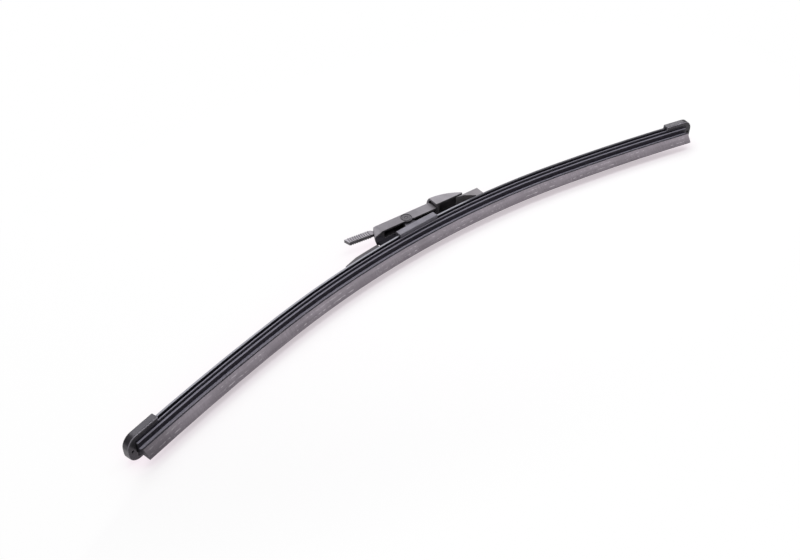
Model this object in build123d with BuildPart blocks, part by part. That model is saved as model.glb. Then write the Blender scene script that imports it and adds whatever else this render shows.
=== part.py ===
"""Flat rear-window wiper blade, lying on its side.

X runs along the blade, +Y points away from the glass and +Z is the width.
The origin is on the adapter's pivot axis, at the middle of the width.
"""

import os
from math import copysign, cos, radians, sin

from build123d import *

# Bow of the blade, measured along the back face of the rails
centre_radius = 463.0
end_radius = 1100.0
middle_half_length = 85.0

# Place of the pivot axis over the rails
pivot_height = 10.0
pivot_offset = 2.0

# Spring rails
rail_setback = 3.5
rail_thickness = 0.85
rail_width = 4.2
rail_gap = 2.1
rail_corner = 1.2
rail_clearance = 0.1

# Rubber strip: head, two side ridges, thin neck and leaning lip
rubber_half_length = 167.5
head_half_width = 2.0
head_height = 0.55
upper_ridge_half_width = 4.2
upper_ridge_land = 0.5
upper_ridge_depth = 0.95
upper_ridge_bevel = 0.6
valley_half_width = 2.5
valley_width = 0.25
lower_ridge_half_width = 2.9
lower_ridge_depth = 0.85
neck_half_width = 0.45
neck_length = 0.7
lip_lean = 29.0
lip_length = 5.3
lip_shoulder_half_width = 1.9
lip_shoulder_start = 0.35
lip_bead_width = 0.4
lip_crease_depth = 0.2
lip_crease_width = 0.12
lip_tip_half_width = 0.35

# End caps
cap_length = 16.2
cap_half_width = 6.35
cap_roof = 0.6
cap_lip_thickness = 1.15
cap_lip_gap = 0.2
cap_corner = 5.0
cap_edge = 0.45
cap_end_gap = 0.3
cap_end_wall = 3.9
cap_hole_radius = 0.6

# Claw bracket: a sheet channel round the rails, with a lug for the pivot pin
bracket_half_length = 11.4
bracket_sheet = 1.0
bracket_head_gap = 0.4
bracket_flange = 0.55
bracket_bend = 0.4
lug_half_width = 1.4
lug_half_length = 5.0
lug_head_radius = 1.75

# Pivot pin
pin_radius = 1.0
pin_press = 0.01
pin_running = 0.05
pin_recess = 0.05
pin_chamfer = 0.2

# Base cover
cover_gap = 0.3
cover_seat = 0.1
tail_half_width = 5.0
tail_height = 1.9
tail_left = 43.3
tail_right = 23.0
tail_slope = 7.3
tail_tip = 0.7
spine_half_width = 2.4
bridge_left = 19.5
bridge_right = 13.0
bridge_height = 5.0
wedge_half_width = 5.1
wedge_height = 5.0
wedge_end = 41.3
wedge_length = 13.0
wedge_prow = 0.9
wedge_prow_length = 4.2
wedge_foot_length = 4.2
wedge_foot = 0.6
catch_radius = 0.5
catch_height = 0.4
catch_station = 9.6
catch_rise = 4.2

# Adapter: slim block, ribbed tongue and hood, in one moulding
adapter_tilt = -5.0
block_half_width = 2.85
block_back = 3.5
block_back_round = 0.8
block_right = 17.0
block_wall = 0.9
back_wall = 0.9
right_skirt = 2.4
left_skirt = 2.0
notch_right = 2.6
nose_taper_start = 15.0
nose_back = 16.6
nose_front = 19.3
nose_half_width = 1.0
chin_depth = 5.6
chin_front = 20.6
chin_reach = 16.5
chin_gap = 0.3
chin_half_width = 1.0
cavity_left = 14.0
boss_radius = 2.95
ring_outer_radius = 2.7
ring_width = 0.45
ring_depth = 0.3
tongue_half_thickness = 0.8
tongue_lean = -5.2
tongue_root = 16.4
tongue_root_height = 2.2
tongue_length = 15.6
tongue_width = 3.2
tongue_neck = 2.0
tongue_neck_width = 1.6
tongue_slant = 1.2
rib_count = 10
rib_pitch = 1.15
rib_width = 0.5
rib_height = 0.3
rib_margin = 2.0
hood_start = 15.7
hood_length = 15.6
hood_half_width = 5.65
hood_base = -3.0
hood_shoulder = 2.8
hood_rise = 2.2
hood_drop = 5.2
hood_end_rise = 1.0
hood_wall = 0.9
hood_recess = 0.9

# Derived places
rail_half_length = rubber_half_length - rail_setback
rail_half_width = rail_gap / 2 + rail_width
middle_turn = middle_half_length / centre_radius
bow_centre = Vector(-pivot_offset, -pivot_height - centre_radius)
mid_plane = Plane.YZ.offset(-pivot_offset)
rail_underside = -rail_thickness - rail_clearance
head_room = head_height + rail_clearance


def bow_turn(station):
    """Angle in radians between the blade at a station and the blade at mid-length."""
    reach = abs(station)
    turn = reach / centre_radius
    if reach > middle_half_length:
        turn = middle_turn + (reach - middle_half_length) / end_radius
    return copysign(turn, station)


def bow_point(station, height):
    """Point at a height over the rails' back face, at a distance along them from mid-length."""
    turn = bow_turn(station)
    if abs(station) <= middle_half_length:
        return bow_centre + Vector(sin(turn), cos(turn)) * (centre_radius + height)
    bend = copysign(middle_turn, station)
    end_centre = bow_centre + Vector(sin(bend), cos(bend)) * (centre_radius - end_radius)
    return end_centre + Vector(sin(turn), cos(turn)) * (end_radius + height)


def bow_line(start, end, height):
    """Arcs that follow the bow at one height, from one station to another."""
    bends = [bend for bend in (-middle_half_length, middle_half_length) if start < bend < end]
    stations = [start, *bends, end]
    for near, far in zip(stations, stations[1:]):
        ThreePointArc(bow_point(near, height), bow_point((near + far) / 2, height), bow_point(far, height))


def cross_plane(station):
    """Plane across the blade: its x is the height over the rails and its y is the width."""
    turn = bow_turn(station)
    return Plane(bow_point(station, 0), x_dir=(sin(turn), cos(turn), 0), z_dir=(cos(turn), -sin(turn), 0))


def bow_strip(start, end, low, high):
    """Outline of a strip between two heights, from one station to another."""
    bow_line(start, end, low)
    bow_line(start, end, high)
    for station in (start, end):
        Line(bow_point(station, low), bow_point(station, high))


os.makedirs("parts", exist_ok=True)

# Two spring rails
for rail_name, side in (("upper_rail", 1), ("lower_rail", -1)):
    with BuildPart() as rail:
        with BuildSketch(Plane.XY.offset(side * rail_gap / 2)):
            with BuildLine():
                bow_strip(-rail_half_length, rail_half_length, -rail_thickness, 0)
            make_face()
        extrude(amount=side * rail_width)
        outer_edges = rail.edges().group_by(Axis.Z)[-1 if side > 0 else 0]
        fillet(outer_edges.filter_by(GeomType.LINE), rail_corner)
    rail.part.label = rail_name
    export_step(rail.part, f"parts/{rail_name}.step")

# Rubber strip, one section swept along the bow
ridge_top = rail_underside
ridge_crest = ridge_top - (upper_ridge_depth - upper_ridge_land)
ridge_bottom = ridge_top - upper_ridge_depth
valley_end = ridge_bottom - valley_width
body_front = valley_end - lower_ridge_depth
web_half_width = rail_gap / 2 - rail_clearance
neck_end = Vector(body_front - neck_length, 0)
crease_start = lip_shoulder_start + lip_bead_width
face_start = crease_start + 2 * lip_crease_width


def lip_point(reach, width):
    """Point of the leaning lip, from its reach past the neck and its width from its own middle."""
    lean = radians(lip_lean)
    along = Vector(-cos(lean), -sin(lean)) * reach
    across = Vector(-sin(lean), cos(lean)) * width
    return neck_end + along + across


def rubber_side(side):
    """One side of the section, from the middle of the head to the tip of the lip."""
    return [
        (head_height, side * head_half_width),
        (rail_clearance, side * head_half_width),
        (rail_clearance, side * web_half_width),
        (ridge_top, side * web_half_width),
        (ridge_top, side * (upper_ridge_half_width - upper_ridge_bevel)),
        (ridge_crest, side * upper_ridge_half_width),
        (ridge_bottom, side * upper_ridge_half_width),
        (ridge_bottom, side * valley_half_width),
        (valley_end, side * valley_half_width),
        (valley_end, side * lower_ridge_half_width),
        (body_front, side * lower_ridge_half_width),
        (body_front, side * neck_half_width),
        lip_point(0, side * neck_half_width),
        lip_point(lip_shoulder_start, side * lip_shoulder_half_width),
        lip_point(crease_start, side * lip_shoulder_half_width),
        lip_point(crease_start + lip_crease_width, side * (lip_shoulder_half_width - lip_crease_depth)),
        lip_point(face_start, side * lip_shoulder_half_width),
        lip_point(lip_length, side * lip_tip_half_width),
    ]


with BuildPart() as wiper_rubber:
    with BuildLine():
        bow_line(-rubber_half_length, rubber_half_length, 0)
    with BuildSketch(cross_plane(-rubber_half_length)):
        with BuildLine():
            Polyline(*rubber_side(1), *reversed(rubber_side(-1)), close=True)
        make_face()
    sweep()
wiper_rubber.part.label = "wiper_rubber"
export_step(wiper_rubber.part, "parts/wiper_rubber.step")

# End caps: the right one on its own plane, the left one its mirror image
cap_start = rubber_half_length + cap_end_gap + cap_end_wall - cap_length
cap_turn = bow_turn(cap_start)
cap_top = head_room + cap_roof
cap_bottom = rail_underside - cap_lip_thickness
cap_plane = Plane(
    bow_point(cap_start, 0),
    x_dir=(cos(cap_turn), -sin(cap_turn), 0),
    z_dir=(sin(cap_turn), cos(cap_turn), 0),
)
slot_half_width = rail_half_width + rail_clearance
mouth_half_width = upper_ridge_half_width + cap_lip_gap
head_slot_half_width = head_half_width + rail_clearance
slot_length = rail_half_length + cap_end_gap - cap_start
rubber_pocket = rubber_half_length + cap_end_gap - cap_start
cap_hole = (rubber_pocket + cap_length) / 2

with BuildPart() as right_end_cap:
    with BuildSketch(cap_plane.offset(cap_bottom)) as cap_outline:
        Rectangle(cap_length, 2 * cap_half_width, align=(Align.MIN, Align.CENTER))
        fillet(cap_outline.vertices().group_by(Axis.X)[-1], cap_corner)
    extrude(amount=cap_top - cap_bottom)
    rim = right_end_cap.faces().sort_by(Axis((0, 0, 0), cap_plane.z_dir))
    fillet(rim[-1].edges() + rim[0].edges(), cap_edge)
    with BuildSketch(cap_plane.offset(rail_underside)):
        Rectangle(slot_length, 2 * slot_half_width, align=(Align.MIN, Align.CENTER))
    extrude(amount=rail_clearance - rail_underside, mode=Mode.SUBTRACT)
    with BuildSketch(cap_plane.offset(cap_bottom)):
        Rectangle(rubber_pocket, 2 * mouth_half_width, align=(Align.MIN, Align.CENTER))
    extrude(amount=rail_underside - cap_bottom, mode=Mode.SUBTRACT)
    with BuildSketch(cap_plane.offset(rail_underside)):
        Rectangle(rubber_pocket, 2 * head_slot_half_width, align=(Align.MIN, Align.CENTER))
    extrude(amount=head_room - rail_underside, mode=Mode.SUBTRACT)
    with BuildSketch(cap_plane.offset(cap_bottom)):
        with Locations((cap_hole, 0)):
            Circle(cap_hole_radius)
    extrude(amount=cap_lip_thickness, mode=Mode.SUBTRACT)
right_end_cap.part.label = "right_end_cap"
export_step(right_end_cap.part, "parts/right_end_cap.step")

with BuildPart() as left_end_cap:
    mirror(right_end_cap.part, about=mid_plane)
left_end_cap.part.label = "left_end_cap"
export_step(left_end_cap.part, "parts/left_end_cap.step")

# Claw bracket: channel swept along the bow, lug upright over it
channel_half_width = rail_half_width + rail_clearance + bracket_sheet
channel_floor = head_height + bracket_head_gap
channel_top = channel_floor + bracket_sheet
channel_bottom = rail_underside - bracket_flange
flange_half_gap = upper_ridge_half_width + cap_lip_gap

with BuildPart() as claw_bracket:
    with BuildLine():
        bow_line(-bracket_half_length, bracket_half_length, 0)
    with BuildSketch(cross_plane(-bracket_half_length)) as channel:
        with Locations(((channel_top + channel_bottom) / 2, 0)):
            Rectangle(channel_top - channel_bottom, 2 * channel_half_width)
        fillet(channel.vertices(), bracket_bend)
        with Locations(((channel_floor + rail_underside) / 2, 0)):
            Rectangle(channel_floor - rail_underside, 2 * slot_half_width, mode=Mode.SUBTRACT)
        with Locations((channel_bottom, 0)):
            Rectangle(2 * bracket_flange, 2 * flange_half_gap, mode=Mode.SUBTRACT)
    sweep()
    with BuildSketch() as lug:
        with Locations((0, channel_floor + bracket_sheet / 2 - pivot_height)):
            Rectangle(2 * lug_half_length, bracket_sheet)
        Circle(lug_head_radius)
        make_hull()
    extrude(amount=lug_half_width, both=True)
    with BuildSketch():
        Circle(pin_radius + pin_press)
    extrude(amount=lug_half_width, both=True, mode=Mode.SUBTRACT)
claw_bracket.part.label = "claw_bracket"
export_step(claw_bracket.part, "parts/claw_bracket.step")

# Pivot pin
with BuildPart() as pivot_pin:
    Cylinder(pin_radius, 2 * (block_half_width - pin_recess))
    chamfer(pivot_pin.edges(), pin_chamfer)
pivot_pin.part.label = "pivot_pin"
export_step(pivot_pin.part, "parts/pivot_pin.step")

# Base cover: a tail on the rails, a narrow spine and a wedge at the right end
cover_start = bracket_half_length + cover_gap
bridge_floor = channel_top + cover_seat
wedge_start = wedge_end - wedge_length

with BuildPart() as base_cover:
    # Tail, a low plate that thins out to the left
    with BuildSketch():
        with BuildLine():
            bow_line(-tail_left, -tail_right, cover_seat)
            bow_line(tail_slope - tail_left, -tail_right, tail_height)
            Line(bow_point(-tail_right, cover_seat), bow_point(-tail_right, tail_height))
            Polyline(
                bow_point(-tail_left, cover_seat),
                bow_point(-tail_left, tail_tip),
                bow_point(tail_slope - tail_left, tail_height),
            )
        make_face()
    extrude(amount=tail_half_width, both=True)
    # Wedge, undercut on its left
    with BuildSketch():
        with BuildLine():
            Polyline(
                bow_point(wedge_start, wedge_height),
                bow_point(wedge_end, wedge_height),
                bow_point(wedge_end, cover_seat),
                bow_point(wedge_end - wedge_foot_length, cover_seat),
                bow_point(wedge_end - wedge_foot_length, wedge_foot),
                bow_point(wedge_start + wedge_prow_length, wedge_height - wedge_prow),
                close=True,
            )
        make_face()
    extrude(amount=wedge_half_width, both=True)
    # Spine between them
    with BuildSketch():
        with BuildLine():
            bow_strip(tail_slope - tail_left, wedge_end, head_room, tail_height)
        make_face()
    extrude(amount=spine_half_width, both=True)
    # Bridge over the bracket, with a slot at its left end in which the adapter's chin swings
    with BuildSketch():
        with BuildLine():
            bow_strip(-bridge_left, bridge_right, head_room, bridge_height)
        make_face()
    extrude(amount=spine_half_width, both=True)
    with BuildSketch():
        with BuildLine():
            bow_strip(-tail_right, 0, tail_height, pivot_height)
        make_face()
        Circle(chin_reach - chin_gap, mode=Mode.SUBTRACT)
    extrude(amount=chin_half_width + chin_gap, both=True, mode=Mode.SUBTRACT)
    # Room for the bracket, the rubber's head and the lug
    with BuildSketch():
        with BuildLine():
            bow_strip(-cover_start, cover_start, -bridge_floor, bridge_floor)
        make_face()
    extrude(amount=channel_half_width, both=True, mode=Mode.SUBTRACT)
    with BuildSketch():
        with BuildLine():
            bow_strip(-tail_left, wedge_end, -head_height, head_room)
        make_face()
    extrude(amount=head_slot_half_width, both=True, mode=Mode.SUBTRACT)
    with BuildSketch():
        Rectangle(2 * (lug_half_length + cover_gap), 2 * pivot_height)
    extrude(amount=lug_half_width + rail_clearance, both=True, mode=Mode.SUBTRACT)
    # Catch nubs on the sides of the bridge
    with BuildSketch():
        with Locations(bow_point(-catch_station, catch_rise)):
            Circle(catch_radius)
    extrude(amount=spine_half_width + catch_height, both=True)
base_cover.part.label = "base_cover"
export_step(base_cover.part, "parts/base_cover.step")

# Adapter on the pin, drawn on its own plane
adapter_plane = Plane.XY.rotated((0, 0, adapter_tilt))
plan_plane = Plane((0, 0, 0), x_dir=adapter_plane.x_dir, z_dir=-adapter_plane.y_dir)
tongue_plane = Plane(
    adapter_plane.from_local_coords((-tongue_root, tongue_root_height, 0)),
    x_dir=adapter_plane.rotated((0, 0, tongue_lean)).x_dir,
    z_dir=(0, 0, 1),
)
block_cavity = block_half_width - block_wall
cavity_back = block_back - back_wall
cavity_right = block_right - block_wall
first_rib = rib_margin - tongue_length
hood_crown = hood_shoulder + hood_rise
hood_inside = (hood_recess + hood_wall) / hood_length


def hood_plane(reach):
    """Plane across the hood: its x is the height and its y is the width."""
    origin = adapter_plane.from_local_coords((reach, 0, 0))
    return Plane(origin, x_dir=adapter_plane.y_dir, z_dir=adapter_plane.x_dir)


def hood_arch(share, base, wall):
    """Outline across the hood, a share of the way to its end and one wall inside its skin."""
    half_width = hood_half_width - wall
    shoulder = hood_shoulder - hood_drop * share**2 - wall
    crown = shoulder + hood_rise + (hood_end_rise - hood_rise) * share
    Polyline((shoulder, -half_width), (base, -half_width), (base, half_width), (shoulder, half_width))
    ThreePointArc((shoulder, half_width), (crown, 0), (shoulder, -half_width))


with BuildPart() as adapter:
    # Slim block with rounded back edges and a nose that narrows to the tongue
    with BuildSketch(adapter_plane):
        with BuildLine():
            Polyline(
                (-nose_back, block_back),
                (block_right, block_back),
                (block_right, -right_skirt),
                (notch_right, -right_skirt),
                (notch_right, -left_skirt),
                (-nose_front, -left_skirt),
                close=True,
            )
        make_face()
        Circle(boss_radius)
    extrude(amount=block_half_width, both=True)
    back_edges = adapter.faces().sort_by(Axis((0, 0, 0), adapter_plane.y_dir))[-1].edges()
    fillet(back_edges.filter_by(Axis((0, 0, 0), adapter_plane.x_dir)), block_back_round)
    with BuildSketch(plan_plane):
        with BuildLine():
            Polyline(
                (-nose_front, nose_half_width),
                (-nose_taper_start, block_half_width),
                (-nose_front, block_half_width),
                close=True,
            )
        make_face()
        mirror(about=Plane.XZ)
    extrude(amount=block_back + right_skirt, both=True, mode=Mode.SUBTRACT)
    # Chin, a narrow keel under the nose, hollowed about the pin to pass the end of its slot
    with BuildSketch(adapter_plane):
        with BuildLine():
            Polyline(
                (-nose_front, -left_skirt),
                (0, -left_skirt),
                (0, -chin_depth),
                (-chin_front, -chin_depth),
                close=True,
            )
        make_face()
        Circle(chin_reach, mode=Mode.SUBTRACT)
    extrude(amount=chin_half_width, both=True)
    # Tongue with grip ribs on both broad faces
    with BuildSketch(tongue_plane):
        with BuildLine():
            Polyline(
                (0, -tongue_width / 2),
                (0, tongue_neck_width - tongue_width / 2),
                (-tongue_neck, tongue_width / 2),
                (-tongue_length, tongue_width / 2),
                (tongue_slant - tongue_length, -tongue_width / 2),
                close=True,
            )
        make_face()
    extrude(amount=tongue_half_thickness, both=True)
    with BuildSketch(tongue_plane):
        with Locations(*[(first_rib + rib * rib_pitch, 0) for rib in range(rib_count)]):
            Rectangle(rib_width, tongue_width)
    extrude(amount=tongue_half_thickness + rib_height, both=True)
    # Hood, an arched shell that falls away to the right, its left wall set back beside the block
    for share in (0, 0.5, 1):
        with BuildSketch(hood_plane(hood_start + hood_length * share)):
            with BuildLine():
                hood_arch(share, hood_base, 0)
            make_face()
    loft()
    for share in (hood_inside, 0.5, 1):
        with BuildSketch(hood_plane(hood_start + hood_length * share)):
            with BuildLine():
                hood_arch(share, 2 * hood_base, hood_wall)
            make_face()
    loft(mode=Mode.SUBTRACT)
    with BuildSketch(hood_plane(hood_start)):
        with BuildLine():
            hood_arch(0, 2 * hood_base, hood_wall)
        make_face()
        with Locations(((hood_crown - right_skirt) / 2, 0)):
            Rectangle(hood_crown + right_skirt, 2 * block_half_width, mode=Mode.SUBTRACT)
    extrude(amount=hood_recess, mode=Mode.SUBTRACT)
    # Cavity for the lug, open towards the rails
    with BuildSketch(adapter_plane):
        with Locations((cavity_right, cavity_back)):
            Rectangle(cavity_right + cavity_left, cavity_back + 2 * right_skirt, align=(Align.MAX, Align.MAX))
    extrude(amount=block_cavity, both=True, mode=Mode.SUBTRACT)
    # Bearing holes, each with a ring groove round it
    with BuildSketch(adapter_plane):
        Circle(pin_radius + pin_running)
    extrude(amount=block_half_width, both=True, mode=Mode.SUBTRACT)
    for side in (1, -1):
        with BuildSketch(adapter_plane.offset(side * block_half_width)):
            Circle(ring_outer_radius)
            Circle(ring_outer_radius - ring_width, mode=Mode.SUBTRACT)
        extrude(amount=-side * ring_depth, mode=Mode.SUBTRACT)
adapter.part.label = "adapter"
export_step(adapter.part, "parts/adapter.step")
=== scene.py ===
import bpy
from mathutils import Matrix, Vector


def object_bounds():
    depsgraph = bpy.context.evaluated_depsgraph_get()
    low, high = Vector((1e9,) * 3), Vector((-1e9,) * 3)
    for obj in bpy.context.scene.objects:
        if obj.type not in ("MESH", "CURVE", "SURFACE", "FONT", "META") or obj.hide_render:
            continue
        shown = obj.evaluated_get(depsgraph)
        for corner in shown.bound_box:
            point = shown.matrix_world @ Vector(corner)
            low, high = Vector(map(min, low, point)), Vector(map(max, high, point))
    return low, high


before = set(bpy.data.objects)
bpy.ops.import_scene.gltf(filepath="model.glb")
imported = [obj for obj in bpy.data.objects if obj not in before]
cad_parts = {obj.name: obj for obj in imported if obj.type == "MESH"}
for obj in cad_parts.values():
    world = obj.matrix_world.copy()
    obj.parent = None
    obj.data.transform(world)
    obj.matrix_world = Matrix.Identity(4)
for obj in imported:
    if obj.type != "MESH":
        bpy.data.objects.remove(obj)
cad_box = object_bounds()
MM = 0.001

# Places on the part, where a pair says where a change of tone starts and ends
ADAPTER_UP = (0.0871557, 0.9961947, 0.0)
TONGUE_ROOT_X = (-20.6 * MM, -19 * MM)
NOSE_END_X = (-17 * MM, -14 * MM)
HOOD_START_X = (14.6 * MM, 15.4 * MM)
CHIN_END_X = (-15.4 * MM, -15 * MM)
CHIN_TOP = (-2.2 * MM, -2.0 * MM)
BOSS_RIM = (2.85 * MM, 3.0 * MM)
# The painted shadow line round the pin
RING_RADIUS = 1.65 * MM
RING_HALF_WIDTH = 0.24 * MM
CORE_LEFT_X = (-25 * MM, -24.6 * MM)
CORE_RIGHT_X = (25.6 * MM, 26 * MM)
BARE_EDGE_END_X = (25 * MM, 32 * MM)
LIP_RISE_Z = (-1.9 * MM, 0.6 * MM)
LIP_DARK_END_X = (-158 * MM, -147 * MM)
LIP_PALER_X = (-150 * MM, 60 * MM)
DASH_ROWS_Z = (0.1 * MM, -1.3 * MM)
DASH_HALF_WIDTH = 0.24 * MM

# Floor, light and the lean of highlights
WHITE = (1, 1, 1, 1)
HIGHLIGHT_TINT = (0.91, 0.88, 1.0, 1.0)
FLOOR_HALF = 6.0
FLOOR_BOUNCE = (0.3, 0.3, 0.3, 1)
FLOOR_SEEN = (1.0, 0.99, 1.0, 1)
# Painted shadow tint of the floor's glow near the part
SHADOW_TINT = (1.0, 0.91, 0.965, 1)
SHADOW_REACH = 30 * MM
GLOW_NEAR = 0.55
# Painted light: the floor's glow past the blade's bow
GLOW_BEHIND = 0.9
GLOW_FAR = 1.0
BLADE_BOW = 1.52
BEHIND_BOW = (-8 * MM, 3 * MM)
AMBIENT = 0.14
BLADE_MIDDLE = (0, -0.02, 0)


# Node helpers

class Graph:
    """A material's node tree, with short calls for the nodes used here."""

    def __init__(self, name):
        self.material = bpy.data.materials.new(name)
        self.material.use_nodes = True
        self.tree = self.material.node_tree
        self.tree.nodes.clear()
        self.output = self.tree.nodes.new("ShaderNodeOutputMaterial")
        geometry = self.tree.nodes.new("ShaderNodeNewGeometry")
        self.normal = geometry.outputs["Normal"]
        self.true_normal = geometry.outputs["True Normal"]
        self.place = self.tree.nodes.new("ShaderNodeTexCoord").outputs["Object"]

    def put(self, socket, value):
        if isinstance(value, bpy.types.NodeSocket):
            self.tree.links.new(value, socket)
        elif value is not None:
            socket.default_value = value

    def math(self, operation, first, second=None):
        node = self.tree.nodes.new("ShaderNodeMath")
        node.operation = operation
        self.put(node.inputs[0], first)
        self.put(node.inputs[1], second)
        return node.outputs[0]

    def vector(self, operation, first, second=None):
        node = self.tree.nodes.new("ShaderNodeVectorMath")
        node.operation = operation
        self.put(node.inputs[0], first)
        self.put(node.inputs[1], second)
        return node.outputs["Value"]

    def axis(self, vector, name):
        node = self.tree.nodes.new("ShaderNodeSeparateXYZ")
        self.put(node.inputs[0], vector)
        return node.outputs[name]

    def ramp(self, value, low, high, to_low=0.0, to_high=1.0):
        """A value between a low and a high one, turned smoothly into one between two others."""
        node = self.tree.nodes.new("ShaderNodeMapRange")
        node.interpolation_type = "SMOOTHSTEP"
        for index, item in enumerate((value, low, high, to_low, to_high)):
            self.put(node.inputs[index], item)
        return node.outputs[0]

    def stretched(self, x, y, z):
        """The place, with each axis times a factor."""
        node = self.tree.nodes.new("ShaderNodeMapping")
        self.put(node.inputs["Vector"], self.place)
        node.inputs["Scale"].default_value = (x, y, z)
        return node.outputs[0]

    def unrolled(self, stretch):
        """Place along the blade, shortened by a factor, and across its width."""
        node = self.tree.nodes.new("ShaderNodeCombineXYZ")
        along = self.math("MULTIPLY", self.axis(self.place, "X"), stretch)
        self.put(node.inputs["X"], along)
        self.put(node.inputs["Y"], self.axis(self.place, "Z"))
        return node.outputs[0]

    def scaled(self, colour, factor):
        node = self.tree.nodes.new("ShaderNodeVectorMath")
        node.operation = "SCALE"
        self.put(node.inputs[0], colour)
        self.put(node.inputs["Scale"], factor)
        return node.outputs["Vector"]

    def row(self, value, middle, half_width):
        """1 on a line where a value meets a middle, fading to 0 at a half width."""
        off = self.math("ABSOLUTE", self.math("SUBTRACT", value, middle))
        return self.ramp(off, 0.3 * half_width, half_width, 1.0, 0.0)

    def noise(self, size, detail=2.0, vector=None):
        node = self.tree.nodes.new("ShaderNodeTexNoise")
        self.put(node.inputs["Vector"], self.place if vector is None else vector)
        node.inputs["Scale"].default_value = 1 / size
        node.inputs["Detail"].default_value = detail
        return node.outputs["Fac"]

    def specks(self, size, radius, share):
        """Scattered specks of one radius, in a share of the cells of one size."""
        node = self.tree.nodes.new("ShaderNodeTexVoronoi")
        self.put(node.inputs["Vector"], self.place)
        node.inputs["Scale"].default_value = 1 / size
        reach = radius / size
        spot = self.ramp(node.outputs["Distance"], 0.6 * reach, reach, 1.0, 0.0)
        chosen = self.math("LESS_THAN", self.axis(node.outputs["Color"], "X"), share)
        return self.math("MULTIPLY", spot, chosen)

    def mix(self, share, first, second):
        node = self.tree.nodes.new("ShaderNodeMix")
        node.data_type = "RGBA"
        colours = [socket for socket in node.inputs if socket.type == "RGBA"]
        self.put(node.inputs[0], share)
        self.put(colours[0], first)
        self.put(colours[1], second)
        return next(socket for socket in node.outputs if socket.type == "RGBA")

    def rounded(self, radius):
        """The normal, with sharp edges rounded."""
        node = self.tree.nodes.new("ShaderNodeBevel")
        node.samples = 6
        node.inputs["Radius"].default_value = radius
        return node.outputs[0]

    def near_edge(self, rounded):
        """How near a point is to an edge that a rounded normal turns."""
        turned = self.vector("DOT_PRODUCT", rounded, self.normal)
        return self.ramp(turned, 0.8, 0.99, 1.0, 0.0)

    def open_share(self, distance):
        """How open a point is: 1 on a free face, less in a corner or a hollow."""
        node = self.tree.nodes.new("ShaderNodeAmbientOcclusion")
        node.samples = 6
        node.inputs["Distance"].default_value = distance
        return node.outputs["AO"]

    def with_painted_shade(self, colour, distance):
        """Painted shade: a colour, darker in the corners and hollows that a distance reaches across."""
        return self.scaled(colour, self.ramp(self.open_share(distance), 0.3, 0.8, 0.3, 1.0))

    def bump(self, height, distance, normal):
        node = self.tree.nodes.new("ShaderNodeBump")
        node.inputs["Distance"].default_value = distance
        self.put(node.inputs["Height"], height)
        self.put(node.inputs["Normal"], normal)
        return node.outputs["Normal"]

    def surface(self, colour, roughness, normal, metallic=0.0, specular=0.5):
        node = self.tree.nodes.new("ShaderNodeBsdfPrincipled")
        self.put(node.inputs["Base Color"], colour)
        self.put(node.inputs["Roughness"], roughness)
        self.put(node.inputs["Metallic"], metallic)
        self.put(node.inputs["Specular IOR Level"], specular)
        node.inputs["Specular Tint"].default_value = HIGHLIGHT_TINT
        self.put(node.inputs["Normal"], normal)
        self.tree.links.new(node.outputs[0], self.output.inputs["Surface"])
        return self.material


# Materials

def grey(level, red=1.08, blue=1.08):
    """A grey that leans to purple, as a level and how much more red and blue it has than green."""
    return (level * red, level, level * blue, 1.0)


def graphite(level):
    return grey(level, 1.13, 1.13)


def moulded_plastic(name, level, blue, roughness, specular, grain, grain_depth, edge, hollow,
                    edge_wear_and_highlight=1.9, black_and_shade_part=None, painted_light_part=None):
    """Plastic with a fine moulded grain, faint flow marks, edges paler as wear and painted highlight,
    painted shade in grooves and hollows, and a part near black as black plastic and painted shade.
    """

    def tint(factor):
        return grey(level * factor, 1.06, blue)

    g = Graph(name)
    normal = g.rounded(edge)
    flow = g.noise(9 * MM, 3.0)
    fine = g.noise(grain, 2.0)
    tone = g.mix(g.ramp(flow, 0.3, 0.7), tint(0.86), tint(1.14))
    tone = g.mix(g.ramp(fine, 0.6, 0.8), tone, tint(1.3))
    patchy = g.ramp(g.noise(2 * MM, 3.0), 0.35, 0.65, 0.15, 0.6)
    # Edges paler: wear, and with the caps' large factor a painted highlight.
    tone = g.mix(g.math("MULTIPLY", g.near_edge(normal), patchy), tone, tint(edge_wear_and_highlight))
    # Painted light: a part paler and darker where light falls on it.
    if painted_light_part:
        tone = g.scaled(tone, painted_light_part(g))
    # Painted shade: small grooves made nearly black.
    tone = g.mix(g.ramp(g.open_share(0.6 * MM), 0.3, 0.8), grey(level * 0.1), tone)
    # Painted shade: hollows and the black part take the near-black colour below.
    painted_lit = g.ramp(g.open_share(hollow), 0.2, 0.6)
    if black_and_shade_part:
        painted_lit = g.math("MINIMUM", painted_lit, g.math("SUBTRACT", 1.0, black_and_shade_part(g)))
    black = g.mix(flow, grey(0.006, 1.1, 1.45), grey(0.011, 1.1, 1.45))
    tone = g.mix(painted_lit, black, tone)
    gloss = g.ramp(g.noise(4 * MM, 4.0), 0.3, 0.75, roughness - 0.06, roughness + 0.08)
    gloss = g.math("MAXIMUM", gloss, g.ramp(painted_lit, 0.0, 1.0, 0.8, 0.0))
    return g.surface(tone, gloss, g.bump(fine, grain_depth, normal), 0.0, specular)


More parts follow.
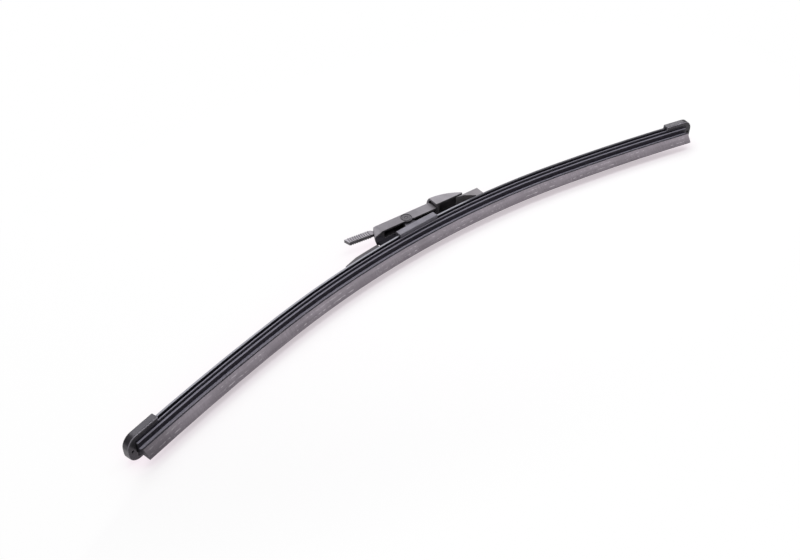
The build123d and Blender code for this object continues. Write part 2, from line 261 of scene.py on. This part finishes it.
def painted_rail(name):
    """Black-painted spring steel whose slit edges are bare steel, fading to the paint's colour towards
    the right end.
    """
    g = Graph(name)
    normal = g.rounded(0.12 * MM)
    streak = g.noise(0.5 * MM, 3.0, g.stretched(0.02, 1, 1))
    upright = g.math("ABSOLUTE", g.axis(g.true_normal, "Z"))
    bare = g.ramp(g.axis(g.place, "X"), *BARE_EDGE_END_X, 1.0, 0.08)
    slit = g.math("MULTIPLY", g.ramp(upright, 0.9, 0.97), bare)
    steel = g.mix(streak, grey(0.2, 1.0, 1.12), grey(0.36, 1.0, 1.12))
    paint = g.mix(g.noise(3 * MM, 4.0), grey(0.011, 1.0, 1.4), grey(0.022, 1.0, 1.4))
    chips = g.ramp(g.noise(1.6 * MM, 5.0), 0.66, 0.78, 0.0, 0.3)
    paint = g.mix(chips, paint, grey(0.11))
    colour = g.mix(slit, paint, steel)
    gloss = g.ramp(slit, 0.0, 1.0, 0.42, 0.5)
    metallic = g.math("MULTIPLY", slit, 0.4)
    return g.surface(colour, gloss, g.bump(streak, 0.01 * MM, normal), metallic)


def graphite_coat(g):
    """The colour of the lip's coat: brush marks, flecks, rows of dashes, paler to its top and right."""
    across = g.axis(g.place, "Z")
    streak = g.noise(0.9 * MM, 4.0, g.unrolled(0.03))
    cloud = g.noise(14 * MM, 4.0)
    brushed = g.noise(0.4 * MM, 2.0, g.stretched(1, 0.12, 0.12))
    worked = g.ramp(g.noise(9 * MM, 2.0), 0.35, 0.65, 0.1, 0.55)
    colour = g.mix(g.ramp(streak, 0.3, 0.7), graphite(0.2), graphite(0.26))
    colour = g.mix(g.ramp(cloud, 0.35, 0.7, 0.0, 0.5), colour, graphite(0.3))
    brushed = g.math("MULTIPLY", g.ramp(brushed, 0.4, 0.65), worked)
    colour = g.mix(brushed, colour, graphite(0.34))
    colour = g.scaled(colour, g.ramp(across, *LIP_RISE_Z, 1.0, 1.42))
    flecks = g.ramp(g.noise(0.4 * MM, 1.0, g.unrolled(0.6)), 0.64, 0.74, 0.0, 0.4)
    rows = g.math("MAXIMUM", *(g.row(across, middle, DASH_HALF_WIDTH) for middle in DASH_ROWS_Z))
    broken = g.ramp(g.noise(0.36 * MM, 1.0, g.unrolled(0.2)), 0.46, 0.64)
    stretches = g.ramp(g.noise(16 * MM, 2.0), 0.43, 0.54)
    dashes = g.math("MULTIPLY", g.math("MULTIPLY", rows, broken), stretches)
    colour = g.mix(g.math("MAXIMUM", flecks, dashes), colour, grey(0.62))
    along = g.axis(g.place, "X")
    colour = g.scaled(colour, g.ramp(along, *LIP_DARK_END_X, 0.58, 1.0))
    return g.scaled(colour, g.ramp(along, *LIP_PALER_X, 0.95, 1.1))


def strip_rubber(name):
    """Black rubber with specks, painted highlights on its edges, painted sheen on its ridge tops and
    painted shade in its grooves, and a graphite coat on the upper face of the lip.
    """
    g = Graph(name)
    normal = g.rounded(0.12 * MM)
    facing = g.axis(g.true_normal, "Z")
    on_lip = g.math("MULTIPLY", g.ramp(facing, 0.6, 0.66), g.ramp(facing, 0.78, 0.84, 1.0, 0.0))
    ridge_sheen = g.ramp(facing, 0.9, 0.96)
    black = g.mix(g.noise(2 * MM, 4.0), grey(0.011, 1.05, 1.45), grey(0.022, 1.05, 1.45))
    black = g.mix(g.specks(0.9 * MM, 0.22 * MM, 0.5), black, grey(0.14))
    # Painted sheen: the ridge tops paler.
    black = g.mix(ridge_sheen, black, grey(0.25, 1.04, 1.22))
    # Painted highlight along the edges.
    painted_edge_highlight = g.math("MULTIPLY", g.near_edge(normal), 0.6)
    black = g.mix(painted_edge_highlight, black, grey(0.24, 1.04, 1.22))
    # Painted shade in grooves and corners.
    colour = g.with_painted_shade(g.mix(on_lip, black, graphite_coat(g)), 0.5 * MM)
    gloss = g.ramp(g.noise(3 * MM, 3.0), 0.3, 0.7, 0.4, 0.52)
    return g.surface(colour, gloss, g.bump(g.noise(0.25 * MM, 2.0), 0.02 * MM, normal))


def coated_steel(name, level):
    """Stamped sheet steel with a satin grey coat and fine draw marks, and painted shade in its hollows.
    """

    def tint(factor):
        return grey(level * factor, 1.04, 1.16)

    g = Graph(name)
    normal = g.rounded(0.2 * MM)
    drawn = g.noise(0.35 * MM, 3.0, g.stretched(0.06, 1, 1))
    cloud = g.noise(5 * MM, 3.0)
    tone = g.mix(g.ramp(cloud, 0.3, 0.7), tint(0.88), tint(1.12))
    tone = g.mix(g.ramp(drawn, 0.55, 0.8, 0.0, 0.5), tone, tint(1.4))
    tone = g.mix(g.math("MULTIPLY", g.near_edge(normal), 0.5), tone, tint(2.0))
    # Painted shade in hollows.
    tone = g.with_painted_shade(tone, 2 * MM)
    gloss = g.ramp(drawn, 0.3, 0.7, 0.36, 0.5)
    return g.surface(tone, gloss, g.bump(drawn, 0.01 * MM, normal), 0.25)


def turned_steel(name, level):
    """Steel pin, blackened, with faint marks of turning."""
    g = Graph(name)
    normal = g.rounded(0.15 * MM)
    marks = g.noise(0.2 * MM, 2.0)
    tone = g.mix(marks, grey(level * 0.8), grey(level * 1.2))
    tone = g.mix(g.math("MULTIPLY", g.near_edge(normal), 0.5), tone, grey(level * 2))
    gloss = g.ramp(marks, 0.2, 0.8, 0.3, 0.45)
    return g.surface(tone, gloss, g.bump(marks, 0.01 * MM, normal), 0.5)


def cover_core(g):
    """Marks the cover's core, left of its wedge, and less its tail, to be near black: a black core and
    painted shade under the adapter.
    """
    along = g.axis(g.place, "X")
    from_tail = g.ramp(along, *CORE_LEFT_X, 0.6, 1.0)
    to_wedge = g.ramp(along, *CORE_RIGHT_X, 1.0, 0.0)
    return g.math("MULTIPLY", from_tail, to_wedge)


def adapter_painted_shade(g):
    """Marks painted shade: the chin under the adapter's nose, made near black where shade falls, and
    half as much the faces turned to the blade.
    """
    height = g.vector("DOT_PRODUCT", g.place, ADAPTER_UP)
    low = g.ramp(height, *CHIN_TOP, 1.0, 0.0)
    chin = g.math("MULTIPLY", low, g.ramp(g.axis(g.place, "X"), *CHIN_END_X, 1.0, 0.0))
    turned = g.vector("DOT_PRODUCT", g.true_normal, ADAPTER_UP)
    return g.math("MAXIMUM", chin, g.ramp(turned, -0.7, -0.4, 0.5, 0.0))


def adapter_painted_light(g):
    """Painted light: the adapter's tongue, nose and hood paler and its middle darker, as light falls
    there; also darkens the boss round the pin, with a painted shadow line round it.
    """
    along = g.axis(g.place, "X")
    tongue = g.ramp(along, *TONGUE_ROOT_X, 1.35, 1.0)
    nose = g.ramp(along, *NOSE_END_X, 1.13, 0.87)
    hood = g.ramp(along, *HOOD_START_X, 1.0, 1.24)
    from_pin = g.vector("LENGTH", g.stretched(1, 1, 0))
    boss = g.ramp(from_pin, *BOSS_RIM, 0.72, 1.0)
    # Painted shade: a dark line round the pin.
    painted_shadow_ring = g.ramp(g.row(from_pin, RING_RADIUS, RING_HALF_WIDTH), 0.0, 1.0, 1.0, 0.4)
    boss = g.math("MULTIPLY", boss, painted_shadow_ring)
    return g.math("MULTIPLY", g.math("MULTIPLY", tongue, nose), g.math("MULTIPLY", hood, boss))


def cap_painted_highlight(g):
    """Painted highlight: pales the rounded edge round a cap's open face, and less its closed end."""
    inward = g.math("MULTIPLY", g.axis(g.normal, "Y"), -1.0)
    edge = g.math("MULTIPLY", g.ramp(inward, 0.3, 0.45), g.ramp(inward, 0.88, 0.95, 1.0, 0.0))
    end = g.ramp(g.math("ABSOLUTE", g.axis(g.normal, "X")), 0.6, 0.9, 1.0, 2.4)
    return g.math("MAXIMUM", g.ramp(edge, 0.0, 1.0, 1.0, 9.0), end)


def floor_paper(name):
    """White paper that keeps the part's shadow near it, and throws a plain grey back on it; its glow
    paints a pink shadow tint near the part, and painted light that lightens the shadow past the blade's
    bow.
    """
    g = Graph(name)
    rays = g.tree.nodes.new("ShaderNodeLightPath")
    seen = g.math("MAXIMUM", rays.outputs["Is Camera Ray"], rays.outputs["Is Glossy Ray"])
    seen = g.math("MAXIMUM", seen, rays.outputs["Is Transmission Ray"])
    away = g.vector("LENGTH", g.stretched(5, 9, 1))
    glowing = g.ramp(away, 0.9, 1.4, GLOW_NEAR, GLOW_FAR)
    # Painted light: the glow is stronger past the blade's bow, lightening the shadow there.
    along = g.axis(g.place, "X")
    bow = g.math("MULTIPLY", g.math("MULTIPLY", along, along), BLADE_BOW)
    past_bow = g.math("ADD", g.axis(g.place, "Y"), bow)
    behind = g.ramp(past_bow, *BEHIND_BOW, GLOW_NEAR, GLOW_BEHIND)
    glowing = g.math("MULTIPLY", seen, g.math("MAXIMUM", glowing, behind))
    paper = g.tree.nodes.new("ShaderNodeBsdfDiffuse")
    g.put(paper.inputs["Color"], g.mix(seen, FLOOR_BOUNCE, FLOOR_SEEN))
    glow = g.tree.nodes.new("ShaderNodeEmission")
    # Painted shadow tint: the glow turns pink where the part is near.
    open_floor = g.ramp(g.open_share(SHADOW_REACH), 0.5, 0.97)
    g.put(glow.inputs["Color"], g.mix(open_floor, SHADOW_TINT, WHITE))
    glow.inputs["Strength"].default_value = 1.0
    blend = g.tree.nodes.new("ShaderNodeMixShader")
    g.put(blend.inputs[0], glowing)
    g.tree.links.new(paper.outputs[0], blend.inputs[1])
    g.tree.links.new(glow.outputs[0], blend.inputs[2])
    g.tree.links.new(blend.outputs[0], g.output.inputs["Surface"])
    return g.material


def dress(material, *names):
    """Gives CAD nodes their material."""
    for name in names:
        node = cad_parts[name]
        node.data.materials.clear()
        node.data.materials.append(material)


# Caps: paler edges and rim, a painted highlight.
cap_plastic = moulded_plastic(
    "cap_plastic", level=0.034, blue=1.14, roughness=0.26, specular=0.42,
    grain=0.5 * MM, grain_depth=0.01 * MM, edge=0.5 * MM, hollow=2 * MM,
    edge_wear_and_highlight=6.0, painted_light_part=cap_painted_highlight)
# Cover: its core near black, as black plastic and painted shade.
cover_plastic = moulded_plastic(
    "cover_plastic", level=0.255, blue=1.06, roughness=0.45, specular=0.1,
    grain=0.3 * MM, grain_depth=0.015 * MM, edge=0.2 * MM, hollow=2 * MM,
    black_and_shade_part=cover_core)
# Adapter: painted shade on its chin and on faces turned to the blade, and painted light along it.
adapter_plastic = moulded_plastic(
    "adapter_plastic", level=0.264, blue=1.09, roughness=0.45, specular=0.2,
    grain=0.25 * MM, grain_depth=0.02 * MM, edge=0.2 * MM, hollow=6 * MM,
    black_and_shade_part=adapter_painted_shade, painted_light_part=adapter_painted_light)

dress(painted_rail("rail_steel"), "upper_rail", "lower_rail")
dress(strip_rubber("strip_rubber"), "wiper_rubber")
dress(cap_plastic, "left_end_cap", "right_end_cap")
dress(coated_steel("bracket_steel", 0.15), "claw_bracket")
dress(cover_plastic, "base_cover")
dress(turned_steel("pin_steel", 0.08), "pivot_pin")
dress(adapter_plastic, "adapter")


# Floor

floor_mesh = bpy.data.meshes.new("floor")
corners = [(x * FLOOR_HALF, y * FLOOR_HALF, 0) for x, y in ((-1, -1), (1, -1), (1, 1), (-1, 1))]
floor_mesh.from_pydata(corners, [], [(0, 1, 2, 3)])
floor_mesh.materials.append(floor_paper("floor_paper"))
floor = bpy.data.objects.new("floor", floor_mesh)
floor.location = (0, 0, cad_box[0][2])
bpy.context.scene.collection.objects.link(floor)


# World and lamps

world = bpy.data.worlds.new("studio")
bpy.context.scene.world = world
world.use_nodes = True
nodes = world.node_tree.nodes
links = world.node_tree.links
nodes.clear()
world_output = nodes.new("ShaderNodeOutputWorld")
path = nodes.new("ShaderNodeLightPath")
choose = nodes.new("ShaderNodeMixShader")
links.new(path.outputs["Is Camera Ray"], choose.inputs[0])
for place_in_choice, strength in ((1, AMBIENT), (2, 1.0)):
    background = nodes.new("ShaderNodeBackground")
    background.inputs["Color"].default_value = WHITE
    background.inputs["Strength"].default_value = strength
    links.new(background.outputs[0], choose.inputs[place_in_choice])
links.new(choose.outputs[0], world_output.inputs["Surface"])


def soft_lamp(name, position, aim, width, height, watts):
    """A rectangular soft box at a place, turned to face a point."""
    data = bpy.data.lights.new(name, "AREA")
    data.shape = "RECTANGLE"
    data.size = width
    data.size_y = height
    data.energy = watts
    lamp = bpy.data.objects.new(name, data)
    lamp.location = position
    back = Vector(position) - Vector(aim)
    lamp.rotation_euler = back.to_track_quat("Z", "Y").to_euler()
    bpy.context.scene.collection.objects.link(lamp)


soft_lamp("back_box", (0.6, 0.64, 0.75), (0.6, -0.02, 0), width=1.7, height=0.5, watts=8.0)
soft_lamp("top_box", (-0.3, -0.05, 1.1), BLADE_MIDDLE, width=1.0, height=1.0, watts=3.4)
soft_lamp("strip_box", (0.7, -0.08, 1.1), (0.7, -0.08, 0), width=1.5, height=0.25, watts=8.3)


# Camera, fitted to the photograph's lines

CAMERA_RIGHT = Vector((0.758434, -0.651749, 0.0))
CAMERA_UP = Vector((0.430283, 0.500716, 0.751093))
CAMERA_BACK = Vector((-0.489524, -0.569655, 0.660197))
CAMERA_PLACE = Vector((-0.254764, -0.292028, 0.304045))
camera_data = bpy.data.cameras.new("camera")
camera_data.sensor_fit = "HORIZONTAL"
camera_data.sensor_width = 36.0
camera_data.lens = 46.545
camera_data.clip_start = 0.01
camera = bpy.data.objects.new("camera", camera_data)
turn = Matrix((CAMERA_RIGHT, CAMERA_UP, CAMERA_BACK)).transposed()
camera.matrix_world = Matrix.LocRotScale(CAMERA_PLACE, turn.to_quaternion(), None)
bpy.context.scene.collection.objects.link(camera)
bpy.context.scene.camera = camera
bpy.context.scene.view_settings.view_transform = "Standard"
